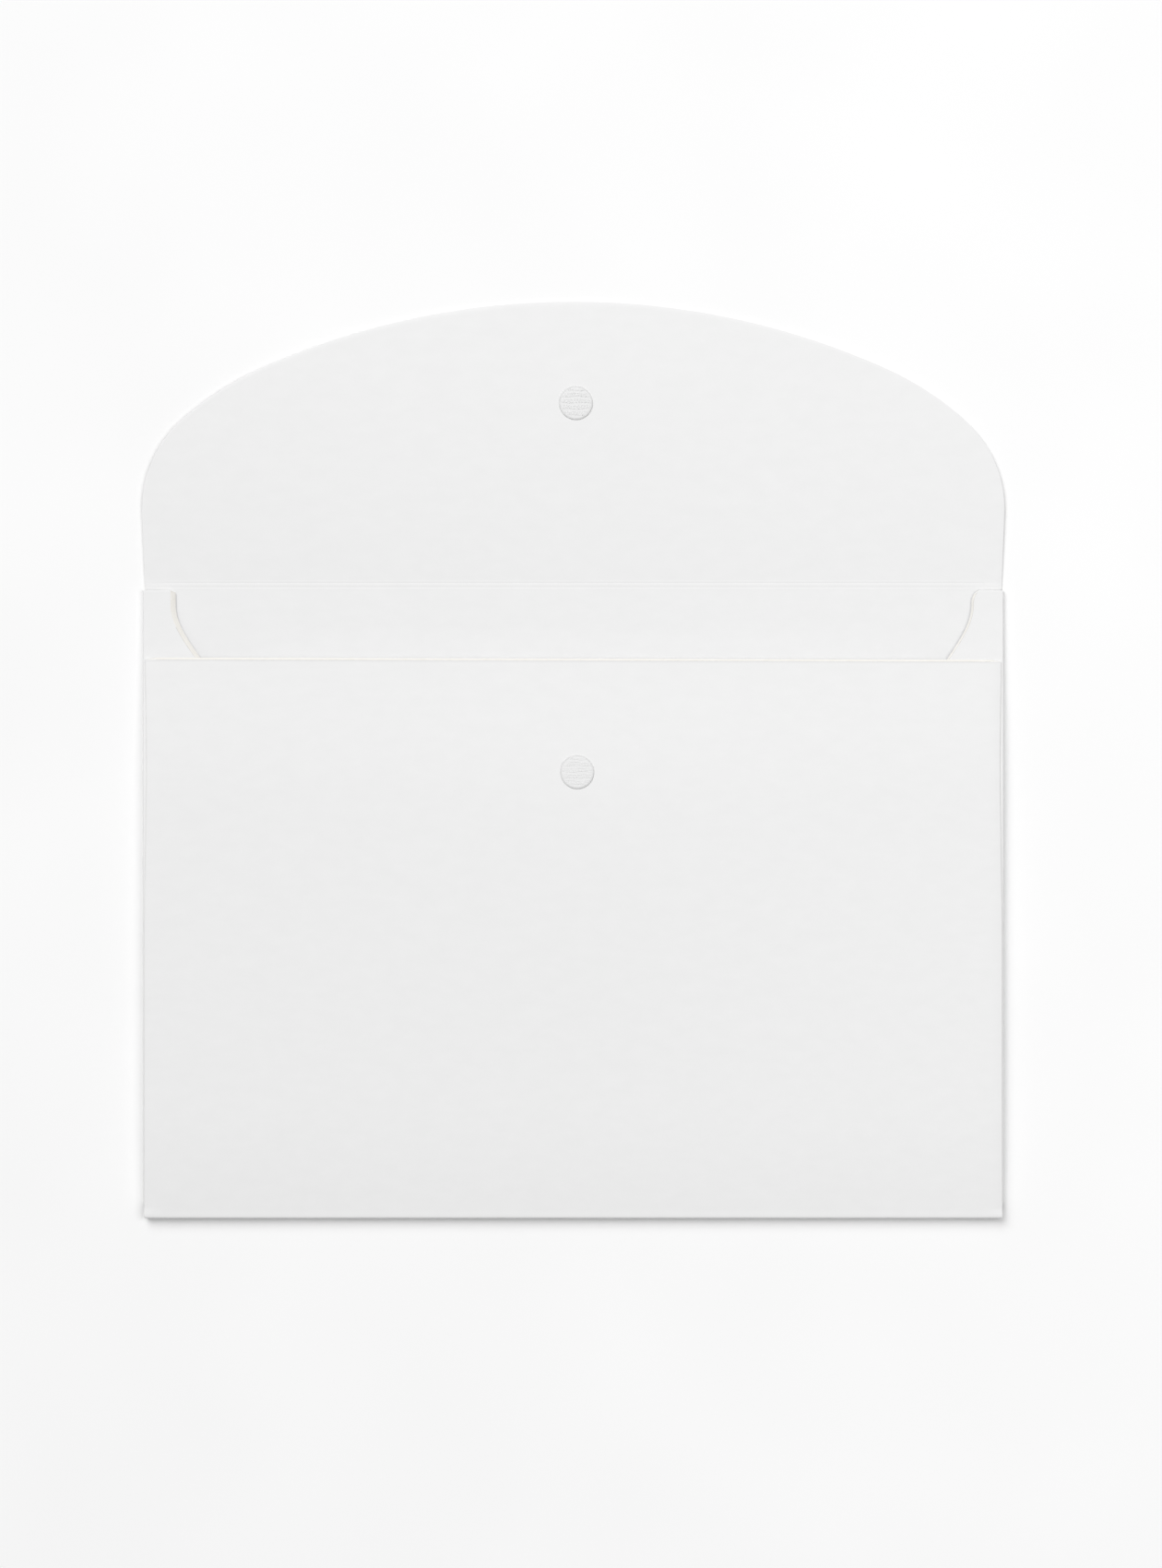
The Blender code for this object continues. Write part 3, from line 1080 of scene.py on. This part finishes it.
@dataclass
class FrontSheet(SheetRun):
    """The front panel, bulging between its glued sides and rolled under at the closed end."""

    name: str = "front_sheet"
    slot: str = "front_board"
    stands_for: tuple[str, ...] = ("front_panel", "end_fold")
    columns: int = 80
    rows: int = 110
    roll_rows: int = 14
    # Rows crowd towards the roll and the mouth: shares of the rows, and how far along they lie.
    row_shares: tuple[float, ...] = (0.0, 0.3, 0.9, 1.0)
    row_reaches: tuple[float, ...] = (0.0, 0.165, 0.994, 1.0)
    skew: float = 0.45 * MM  # the mouth's edge is cut this much longer at the left and shorter at the right
    skew_power: int = 8  # how fast that dies out away from the mouth
    lip: float = 0.07 * MM  # the die pushes the mouth's edge up by this much
    lip_starts: float = 0.7 * MM
    lip_run: float = 0.6 * MM
    wider: float = 1.2 * MM  # away from the mouth the sides reach out this much more
    wider_below: float = 80.0 * MM
    wider_run: float = 125.0 * MM
    most_overhang: float = 0.3  # but no more than this share of the fold's height
    core_depth: float = 1.2 * MM  # the edge shows its core within this much of the mouth
    core_side: float = 2.5 * MM  # and up to this far from the sides

    def seams(self) -> tuple[float, ...]:
        """Where the roll meets the back panel."""
        return (self.sizes.closed_end + self.form.roll_radius(),)

    def slants(self) -> tuple[Vector, ...]:
        """The mouth's edge."""
        return (Vector((0.0, self.core_slant, 0.0)),)

    def shows_core(self, spot: Vector) -> bool:
        """The edge at the mouth is cut aslant."""
        near = spot.y > self.sizes.front_top - self.core_depth
        return near and abs(spot.x) < self.sizes.half_width - self.core_side

    def overhang(self, y: Any) -> Any:
        """How far the front reaches out over the side folds at y: least at the mouth."""
        return self.form.overhang + self.wider * smoothstep((self.wider_below - y) / self.wider_run)

    def bend(self, across: np.ndarray, along: np.ndarray) -> np.ndarray:
        """From under the closed end, round the roll, and up to the mouth.

        Args:
            across: Shares across the run, 0 to 1.
            along: Shares along it, 0 to 1.

        Returns:
            Points, one row for each pair of shares, in metres.
        """
        step = along * self.rows
        radius = self.form.roll_radius()
        centre = self.sizes.closed_end + radius
        run = radius - self.sizes.sheet / 2.0
        turn = math.pi * (1.0 - np.clip(step / self.roll_rows, 0.0, 1.0))
        share = np.clip((step - self.roll_rows) / (self.rows - self.roll_rows), 0.0, 1.0)
        share = np.interp(share, self.row_shares, self.row_reaches)
        reach = self.sizes.front_top - self.skew - centre
        out, back = boxy(turn)
        y = np.where(share > 0.0, centre + reach * share, centre - run * out)
        rolled_share = smoothstep(step / self.roll_rows)
        full = self.form.rise(y)
        overhang = np.minimum(self.overhang(y), self.most_overhang * full)
        edge = self.form.fold_line(y) + overhang * rolled_share
        x = edge * (2.0 * across - 1.0)
        z = np.where(share > 0.0, self.form.front_middle(x, y), radius + run * back)
        from_mouth = y - self.sizes.front_top + self.skew
        z = z + self.lip * smoothstep((from_mouth + self.lip_starts) / self.lip_run)
        y = y - self.skew * share**self.skew_power * x / self.sizes.half_width
        return np.stack([x, y, z], axis=1)


@dataclass
class GlueBand:
    """A band of dried glue between a glue flap and the front panel."""

    form: PocketForm
    side: Side
    columns: int = 10
    rows: int = 60
    margin: float = 2.5 * MM
    inner_wander: float = 0.5 * MM
    outer_wander: float = 0.4 * MM
    top: float = 88.0 * MM
    end: float = -96.0 * MM
    gap: float = 0.1 * MM
    thickness: float = 0.25 * MM
    ease: float = 0.08 * MM  # how much its edges are rounded

    def spread(self, across: np.ndarray, along: np.ndarray) -> np.ndarray:
        """Follows the glue flap under it, and wanders a little at its edges.

        Args:
            across: Shares across the band, 0 to 1.
            along: Shares along it, 0 to 1.

        Returns:
            Points, one row for each pair of shares, in metres.
        """
        y = self.end + (self.top - self.end) * along
        inner = self.form.flap_inner(y) + self.margin + self.inner_wander * np.sin(y / (7.0 * MM))
        outer = self.form.fold_line(y) - self.margin + self.outer_wander * np.sin(y / (5.0 * MM) + 1.0)
        x = self.side.value * (inner + (outer - inner) * across)
        return np.stack([x, y, self.form.rise(y) + self.gap + self.thickness / 2.0], axis=1)

    def build(self) -> bpy.types.Object:
        """Makes the band.

        Returns:
            The finished piece.
        """
        node = f"{self.side.name.lower()}_glue_strip"
        obj = flat_grid(f"{self.side.name.lower()}_glue_band", self.columns, self.rows)
        mould(obj, self.spread)
        face_out(obj)
        modify(obj, "SOLIDIFY", thickness=self.thickness, offset=0.0)
        angle = math.radians(50.0)
        modify(obj, "BEVEL", width=self.ease, segments=2, limit_method="ANGLE", angle_limit=angle)
        take(obj)
        bpy.ops.object.shade_smooth_by_angle(angle=math.radians(40.0))
        obj.data.materials.append(AcrylicAdhesive().make())
        settle(obj)
        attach(obj, Body.CASE.value)
        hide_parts(node)
        LOG.info("%s: %d faces", obj.name, len(obj.data.polygons))
        return obj


@dataclass(frozen=True)
class FlapOutline:
    """The flap's die line: a wide tip arc, a shoulder arc and a corner arc a side, and a straight run that
    draws in a little towards the crease. In metres and radians."""

    reach: float
    tip_radius: float = 297.0 * MM
    tip_arc: float = math.radians(24.26)
    shoulder_radius: float = 117.0 * MM
    shoulder_arc: float = math.radians(18.2)
    corner_radius: float = 46.2 * MM
    flare: float = math.radians(1.82)  # how far the straight run leans
    tip_steps: int = 40
    shoulder_steps: int = 16
    corner_steps: int = 32

    def right_side(self) -> tuple[np.ndarray, int]:
        """Points from the tip to the end of the corner arc, on the right.

        Returns:
            The points, and the index of the one in the middle of the corner.
        """
        corner = math.pi / 2 + self.flare - self.tip_arc - self.shoulder_arc
        x, y, heading = 0.0, self.reach, 0.0
        points = [(x, y)]
        for radius, turn, steps in (
            (self.tip_radius, self.tip_arc, self.tip_steps),
            (self.shoulder_radius, self.shoulder_arc, self.shoulder_steps),
            (self.corner_radius, corner, self.corner_steps),
        ):
            for _ in range(steps):
                ahead = heading - turn / steps
                x += radius * (math.sin(heading) - math.sin(ahead))
                y -= radius * (math.cos(heading) - math.cos(ahead))
                heading = ahead
                points.append((x, y))
        return np.array(points), self.tip_steps + self.shoulder_steps + self.corner_steps // 2


def spaced(line: np.ndarray, shares: np.ndarray) -> np.ndarray:
    """Points at even shares of a line's length.

    Args:
        line: The line's corners, one a row.
        shares: Shares of its length, 0 to 1.

    Returns:
        A point for each share.
    """
    run = np.concatenate([[0.0], np.cumsum(np.linalg.norm(np.diff(line, axis=0), axis=1))])
    return np.stack([np.interp(shares * run[-1], run, line[:, axis]) for axis in (0, 1)], axis=1)


@dataclass
class FlapSheet(SheetRun):
    """Half of the spine and the long flap, which lies open with a slight arch, as creased board does."""

    name: str = "flap_sheet"
    slot: str = "flap_board"
    stands_for: tuple[str, ...] = ("top_flap",)
    columns: int = 120
    rows: int = 84
    spine_rows: int = 30
    straight_run: float = 2.0 * MM  # how far past the crease the rows stay straight
    arch: float = 0.9 * MM  # how high the middle of the flap stands

    def seams(self) -> tuple[float, ...]:
        """The middle of the spine."""
        return (SpineScores(self.sizes).middle(),)

    def start(self) -> float:
        """Where the flap proper begins."""
        return self.sizes.second_crease + self.straight_run

    def height(self, y: Any) -> Any:
        """The middle layer's height at y, arched between the crease and the tip.

        Args:
            y: Places along Y.

        Returns:
            The heights there.
        """
        crease = self.sizes.second_crease
        share = np.clip((y - crease) / (self.sizes.tip - crease), 0.0, 1.0)
        return self.sizes.sheet / 2.0 + 4.0 * self.arch * share * (1.0 - share)

    def bend(self, across: np.ndarray, along: np.ndarray) -> np.ndarray:
        """Straight rows over the spine, and beyond it a patch spread between the die line's four parts.

        Args:
            across: Shares across the run, 0 to 1.
            along: Shares along it, 0 to 1.

        Returns:
            Points, one row for each pair of shares, in metres.
        """
        right, middle = FlapOutline(self.sizes.tip - self.sizes.second_crease).right_side()
        right = right + np.array([0.0, self.sizes.second_crease])
        mirror = np.array([-1.0, 1.0])
        widest = right[-1, 0]
        base, spine = self.start(), SpineScores(self.sizes)
        foot = self.sizes.spine_half_width
        climb = (base - spine.middle()) / (right[-1, 1] - spine.middle())
        low_corner = np.array([foot + (widest - foot) * climb, base])
        top = np.concatenate([(right * mirror)[middle:0:-1], right[: middle + 1]])
        side = np.concatenate([low_corner[None], right[:middle - 1 : -1]])

        step = along * self.rows
        up = np.clip((step - self.spine_rows) / (self.rows - self.spine_rows), 0.0, 1.0)
        u, v = across[:, None], up[:, None]
        bottom = low_corner * np.concatenate([2.0 * u - 1.0, np.ones_like(u)], axis=1)
        upper = spaced(top, across)
        east = spaced(side, up)
        west = east * mirror
        corners = (
            (1 - u) * (1 - v) * low_corner * mirror
            + u * (1 - v) * low_corner
            + (1 - u) * v * top[0]
            + u * v * top[-1]
        )
        spread = (1 - v) * bottom + v * upper + (1 - u) * west + u * east - corners

        near = np.clip(step / self.spine_rows, 0.0, 1.0)
        y_near = spine.middle() + (base - spine.middle()) * near
        wide = foot + (low_corner[0] - foot) * near
        straight = np.stack([wide * (2.0 * across - 1.0), y_near], axis=1)
        flat = np.where((step <= self.spine_rows)[:, None], straight, spread)
        x, y = flat[:, 0], flat[:, 1]
        return np.stack([x, y, self.height(y) + spine.height(x, y)], axis=1)

    def hang(self, obj: bpy.types.Object) -> None:
        """Puts the run's place into its mesh, and hangs it on no body.

        Args:
            obj: The finished run.
        """
        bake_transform(obj)


# ---------------------------------------------------------------- the fastener


@dataclass
class FastenerHalf:
    """One half of the hook-and-loop dot: an adhesive disc, a woven tape and the pile that stands on it."""

    kind: str
    body: Body
    foot: Vector
    tilt: float
    radius: float
    rng: np.random.Generator = field(default_factory=lambda: np.random.default_rng(11))
    tape: float = 0.38 * MM  # the tape's thickness
    tape_ease: float = 0.09 * MM
    tape_dome: float = 0.35
    bare: float = 0.75 * MM  # how far from the tape's edge no strand stands
    wave: float = 0.16 * MM  # how far a row wanders
    wave_run: float = 1.3 * MM
    scatter: float = 0.05 * MM  # how far a strand stands off its place in the row
    least: float = 0.9  # the smallest strand's size, as a share of the biggest one's
    stick: float = 0.12 * MM  # the adhesive disc's thickness
    stick_ease: float = 0.04 * MM
    stick_share: float = 0.985  # its radius, as a share of the tape's
    fused: float = 0.08  # the share of the radius that the hot cutter fuses, and that is greyed as painted shade

    def place(self, obj: bpy.types.Object, slot: str, *nodes: str) -> bpy.types.Object:
        """Tilts and moves a piece made round the origin to the dot's foot, and hangs it.

        Args:
            obj: The piece.
            slot: The record's slot for its finish. Not used.
            *nodes: The CAD nodes that it stands for.

        Returns:
            The same piece.
        """
        obj.data.transform(Matrix.Translation(self.foot) @ Matrix.Rotation(self.tilt, 4, "X"))
        settle(obj)
        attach(obj, self.body.value)
        if nodes:
            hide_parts(*nodes)
        LOG.info("%s: %d faces", obj.name, len(obj.data.polygons))
        return obj

    def round_piece(
        self, name: str, radius: float, low: float, high: float, ease: float, dome: float, finish: Finish
    ) -> bpy.types.Object:
        """A disc with an eased rim and a top that slopes up from it.

        Args:
            name: The piece's name.
            radius: Its radius.
            low: The height of its underside.
            high: The height of its top.
            ease: How much its rim is rounded.
            dome: The share of its height that the top rises over the rim.
            finish: Its finish.

        Returns:
            The disc, still round the origin.
        """
        deselect()
        full = high - low
        wall = full * (1.0 - dome)
        bpy.ops.mesh.primitive_cylinder_add(
            vertices=64, radius=radius, depth=wall, location=(0.0, 0.0, low + wall / 2.0)
        )
        obj = named(name)
        settle(obj)
        bpy.ops.object.mode_set(mode="EDIT")
        pick_faces(obj, lambda face: face.normal.z > 0.9)
        # Steep at the rim and almost level further in: shares of the radius, and of the rise.
        for reach, share in ((0.04, 0.38), (0.05, 0.34), (0.06, 0.2), (0.25, 0.08)):
            bpy.ops.mesh.inset(thickness=radius * reach, depth=full * dome * share)
        bpy.ops.object.mode_set(mode="OBJECT")
        angle = math.radians(50.0)
        modify(obj, "BEVEL", width=ease, segments=4, limit_method="ANGLE", angle_limit=angle)
        take(obj)
        bpy.ops.object.shade_smooth_by_angle(angle=math.radians(40.0))
        obj.data.materials.append(finish.make())
        return obj

    def fuse_and_shade_rim(self, obj: bpy.types.Object) -> None:
        """Gives the tape's edge the duller finish of nylon fused by a hot cutter, whose grey paints the
        shade ring round the dot.

        Args:
            obj: The tape, round the origin.
        """
        take(obj)
        bpy.ops.object.mode_set(mode="EDIT")
        inner = self.radius * (1.0 - self.fused)
        pick_faces(obj, lambda face: face.calc_center_median().xy.length > inner)
        # This rim finish's grey is painted shade round the dot.
        obj.data.materials.append(FusedNylonAndShade().make())
        obj.active_material_index = 1
        bpy.ops.object.material_slot_assign()
        bpy.ops.object.mode_set(mode="OBJECT")

    def strand(self, name: str, thick: float, stem: float, bow: float, turn: float) -> bpy.types.Object:
        """One filament: a stem that rises and then turns over.

        Args:
            name: The piece's name.
            thick: The filament's radius.
            stem: How high it rises before it turns.
            bow: The radius that it turns at.
            turn: How far it turns, in radians.

        Returns:
            The strand, standing on the origin.
        """
        deselect()
        sides, rings = 6, 6
        bpy.ops.mesh.primitive_circle_add(vertices=sides, radius=thick, fill_type="NGON")
        obj = named(name)
        bpy.ops.object.mode_set(mode="EDIT")
        bpy.ops.mesh.select_all(action="SELECT")
        bpy.ops.mesh.extrude_region_move(TRANSFORM_OT_translate={"value": (0.0, 0.0, stem)})
        bpy.ops.mesh.spin(steps=rings, angle=turn, center=(0.0, bow, stem), axis=(1.0, 0.0, 0.0))
        bpy.ops.mesh.select_all(action="SELECT")
        bpy.ops.mesh.remove_doubles(threshold=1e-7)
        bpy.ops.mesh.normals_make_consistent(inside=False)
        bpy.ops.object.mode_set(mode="OBJECT")
        bpy.ops.object.shade_smooth_by_angle(angle=math.radians(60.0))
        return obj

    def sow(
        self, seed: bpy.types.Object, name: str, pitch: tuple[float, float], lean: float
    ) -> bpy.types.Object:
        """Copies a strand over the disc in slightly wavy rows and joins the copies.

        Args:
            seed: The strand to copy. It is removed.
            name: The joined piece's name.
            pitch: The distance between strands along a row and between rows.
            lean: How far strands turn from the row's line, in radians.

        Returns:
            The field of strands, still round the origin.
        """
        copies = []
        low = self.stick + self.tape
        reach = self.radius - self.bare
        rows = int(reach / pitch[1]) + 1
        across = int(reach / pitch[0]) + 1
        for row in range(-rows, rows + 1):
            for step in range(-across, across + 1):
                x = (step + 0.5 * (row % 2)) * pitch[0]
                y = row * pitch[1] + self.wave * math.sin(x / self.wave_run + 0.8 * row)
                x += self.rng.normal(0.0, self.scatter)
                turn = (math.pi if (row % 2) else 0.0) + self.rng.normal(0.0, lean)
                if math.hypot(x, y) > reach:
                    continue
                copy = bpy.data.objects.new(name, seed.data.copy())
                size = float(self.rng.uniform(self.least, 1.0))
                place = Matrix.Translation((x, y, low)) @ Matrix.Rotation(turn, 4, "Z")
                copy.data.transform(place @ Matrix.Scale(size, 4))
                bpy.context.scene.collection.objects.link(copy)
                copies.append(copy)
        deselect()
        for copy in copies:
            copy.select_set(True)
        bpy.context.view_layer.objects.active = copies[0]
        bpy.ops.object.join()
        field_piece = bpy.context.active_object
        bpy.data.objects.remove(seed, do_unlink=True)
        field_piece.name = name
        field_piece.data.name = name
        field_piece.data.materials.clear()
        field_piece.data.materials.append(NylonFilament().make())
        return field_piece

    def pile(self) -> bpy.types.Object:
        """The strands that stand on the tape. Each half has its own."""
        raise NotImplementedError

    def build(self) -> list[bpy.types.Object]:
        """Makes the half.

        Returns:
            Its pieces.
        """
        stick, top, kind = self.stick, self.stick + self.tape, self.kind
        name, radius = f"{kind}_adhesive_disc", self.radius * self.stick_share
        backing = self.round_piece(name, radius, 0.0, stick, self.stick_ease, 0.0, AcrylicAdhesive())
        name, radius = f"{kind}_tape", self.radius
        tape = self.round_piece(name, radius, stick, top, self.tape_ease, self.tape_dome, NylonTape())
        self.fuse_and_shade_rim(tape)
        pile = self.pile()
        return [
            self.place(backing, f"{kind}_adhesive", f"{kind}_backing"),
            self.place(tape, f"{kind}_nylon", f"{kind}_disc"),
            self.place(pile, f"{kind}_nylon"),
        ]


@dataclass
class HookHalf(FastenerHalf):
    """The half with hooks: stiff bent filaments in rows."""

    def pile(self) -> bpy.types.Object:
        """Hooks that turn over past half a circle. Every second row faces the other way.

        Returns:
            The field of hooks.
        """
        turn = math.radians(-205.0)
        seed = self.strand("hook_seed", thick=0.09 * MM, stem=0.14 * MM, bow=0.2 * MM, turn=turn)
        return self.sow(seed, "hook_field", pitch=(0.5 * MM, 1.2 * MM), lean=0.25)


@dataclass
class LoopHalf(FastenerHalf):
    """The half with loops: fine soft bows of yarn."""

    def pile(self) -> bpy.types.Object:
        """Thinner strands in wider half circles, closer together.

        Returns:
            The field of loops.
        """
        turn = math.radians(-180.0)
        seed = self.strand("loop_seed", thick=0.06 * MM, stem=0.12 * MM, bow=0.26 * MM, turn=turn)
        return self.sow(seed, "loop_field", pitch=(0.32 * MM, 1.2 * MM), lean=0.2)


# ---------------------------------------------------------------- the whole case


@dataclass
class PortfolioCase:
    """The case: its folded sheet, its glue and its fastener."""

    sizes: CaseSizes
    form: PocketForm

    def fastener(self, flap: FlapSheet) -> list[FastenerHalf]:
        """The two halves of the dot, each on the face that carries it.

        Args:
            flap: The flap, whose arch lifts its half of the dot.

        Returns:
            The two halves.
        """
        halves = []
        for kind, maker, body in (("hook", HookHalf, Body.FLAP), ("loop", LoopHalf, Body.CASE)):
            low, high = (Vector(corner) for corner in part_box(f"{kind}_disc"))
            middle = (low + high) / 2.0
            radius = (high.x - low.x) / 2.0
            if body is Body.FLAP:
                level, step = flap.height, 1.0 * MM
            else:
                level, step = partial(self.form.front_middle, middle.x), radius
            tilt = math.atan2(level(middle.y + step) - level(middle.y - step), 2.0 * step)
            foot = Vector((middle.x, middle.y, float(level(middle.y) + self.sizes.sheet / 2.0)))
            halves.append(maker(kind, body, foot, tilt, radius))
        return halves

    def build(self) -> None:
        """Makes every piece, from the back panel to the fastener."""
        BackSheet(self.sizes, self.form).build()
        FrontSheet(self.sizes, self.form).build()
        flap = FlapSheet(self.sizes, self.form)
        flap.build()
        for half in self.fastener(flap):
            half.build()
        for side in Side:
            GlueBand(self.form, side).build()


# ---------------------------------------------------------------- the studio


@dataclass(frozen=True)
class SoftLight:
    """A square soft light, with sizes in metres and power in watts."""

    name: str
    spot: tuple[float, float, float]
    size: float
    power: float
    aim: tuple[float, float, float] = (0.0, 0.05, 0.0)

    def hang(self) -> None:
        """Hangs the light and turns it to what it lights."""
        deselect()
        turn = (Vector(self.aim) - Vector(self.spot)).to_track_quat("-Z", "Y").to_euler()
        bpy.ops.object.light_add(type="AREA", location=self.spot, rotation=turn)
        light = bpy.context.active_object
        light.name = self.name
        light.data.shape = "SQUARE"
        light.data.size = self.size
        light.data.energy = self.power


@dataclass
class Studio:
    """A pale floor, soft light and a camera straight above."""

    floor_drop: float = 0.2 * MM
    floor_side: float = 6.0
    key: SoftLight = SoftLight("key_light", (-2.1, 3.7, 5.2), 5.0, 335.0)
    overhead: SoftLight = SoftLight("overhead_light", (0.9, 0.1, 1.8), 1.2, 12.0)
    surround: float = 0.3  # how bright the pale room is all round
    view_centre: tuple[float, float] = (3.0 * MM, 46.5 * MM)
    view_height: float = 610.9 * MM  # how much of the floor the frame takes in, from top to bottom
    lens: float = 125.0  # the lens's and the sensor's sizes are in millimetres, as the camera takes them
    sensor: float = 36.0
    farthest: float = 20.0  # how far off the camera still sees, in metres

    def lay_floor(self) -> None:
        """A floor just under the case."""
        deselect()
        bpy.ops.mesh.primitive_plane_add(size=self.floor_side, location=(0.0, 0.0, -self.floor_drop))
        floor = named("studio_floor")
        settle(floor)
        floor.data.materials.append(FloorPaint().make())

    def light(self) -> None:
        """A key from the upper left, a broad overhead and a pale surround."""
        self.key.hang()
        self.overhead.hang()
        world = bpy.data.worlds.new("studio_surround")
        world.use_nodes = True
        background = world.node_tree.nodes["Background"]
        background.inputs["Color"].default_value = (1.0, 1.0, 1.0, 1.0)
        background.inputs["Strength"].default_value = self.surround
        bpy.context.scene.world = world

    def set_camera(self) -> None:
        """A long lens straight above, with the flap at the top of the frame."""
        deselect()
        away = self.view_height * self.lens / self.sensor
        bpy.ops.object.camera_add(location=(*self.view_centre, away), rotation=(0.0, 0.0, 0.0))
        camera = bpy.context.active_object
        camera.name = "studio_camera"
        camera.data.lens = self.lens
        camera.data.sensor_width = self.sensor
        camera.data.clip_end = self.farthest
        bpy.context.scene.camera = camera
        bpy.context.scene.view_settings.view_transform = "Standard"

    def build(self) -> None:
        """Sets up the whole studio."""
        self.lay_floor()
        self.light()
        self.set_camera()


def main() -> None:
    """Builds the case and the studio."""
    logging.basicConfig(level=logging.INFO, format="%(name)s: %(message)s")
    sizes = CaseSizes.read()
    form = PocketForm(sizes)
    PortfolioCase(sizes, form).build()
    Studio().build()


if __name__ == "__main__":
    main()
